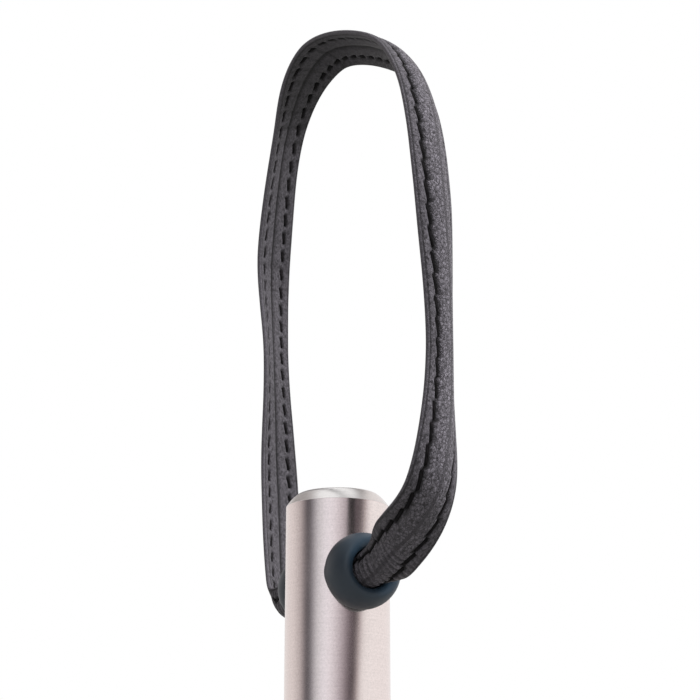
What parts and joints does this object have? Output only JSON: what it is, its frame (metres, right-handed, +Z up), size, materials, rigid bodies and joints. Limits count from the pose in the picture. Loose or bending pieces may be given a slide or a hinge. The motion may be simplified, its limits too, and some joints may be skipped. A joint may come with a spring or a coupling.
{
  "type": "riding crop",
  "caption": "Riding crop: round satin metal handle with a closed end and a stitched leather wrist loop through a rubber-grommeted cross hole, braided tapering shaft and folded leather keeper.",
  "frame": {"origin": "on the handle's axis, in the middle of the plain grip between the two turned grooves", "axes": "+Z up the handle towards the butt, as the crop is held with its butt up; Y along the cross hole, with the front grommet at -Y; X across both, to the right seen from -Y"},
  "size_m": [0.025, 0.1093, 0.819],
  "materials": {
    "tube_steel": "satin, brushed along the tube",
    "cap_steel": "turned satin",
    "grommet_rubber": "moulded, matt, blue-black",
    "strap_leather": "black, soft grain, slight sheen",
    "filler_board": "bonded leather",
    "thread": "twisted polyester thread",
    "inner_steel": "plain",
    "collar_steel": "turned satin",
    "rod_glassfibre": "pultruded, semi-gloss",
    "braid": "braided polyester cover",
    "keeper_leather": "black, smooth, cut edges"
  },
  "bodies": {
    "handle": {"handle_tube": "tube_steel", "butt_cap": "cap_steel", "front_grommet": "grommet_rubber", "rear_grommet": "grommet_rubber", "shaft_collar": "collar_steel", "collar_pin": "inner_steel", "shaft_core": "rod_glassfibre", "shaft_cover": "braid", "upper_binding": "thread", "keeper_root": "keeper_leather", "keeper_binding": "thread"},
    "wrist_loop": {"strap_leather": "strap_leather", "strap_filler": "filler_board", "strap_stitching": "thread", "strap_ferrule": "inner_steel"},
    "keeper": {"keeper_tongue": "keeper_leather", "keeper_stitching": "thread"}
  },
  "joints": [
    {"name": "loop_swing", "type": "hinge", "parent": "handle", "child": "wrist_loop", "pos_m": [0, 0, 0.0825], "axis": [0, 1, 0], "range_deg": [-165, 165]},
    {"name": "keeper_flex", "type": "hinge", "parent": "handle", "child": "keeper", "pos_m": [0, 0, -0.52055], "axis": [1, 0, 0], "range_deg": [-55, 55], "stiffness_Nm_per_rad": 0.05}
  ]
}
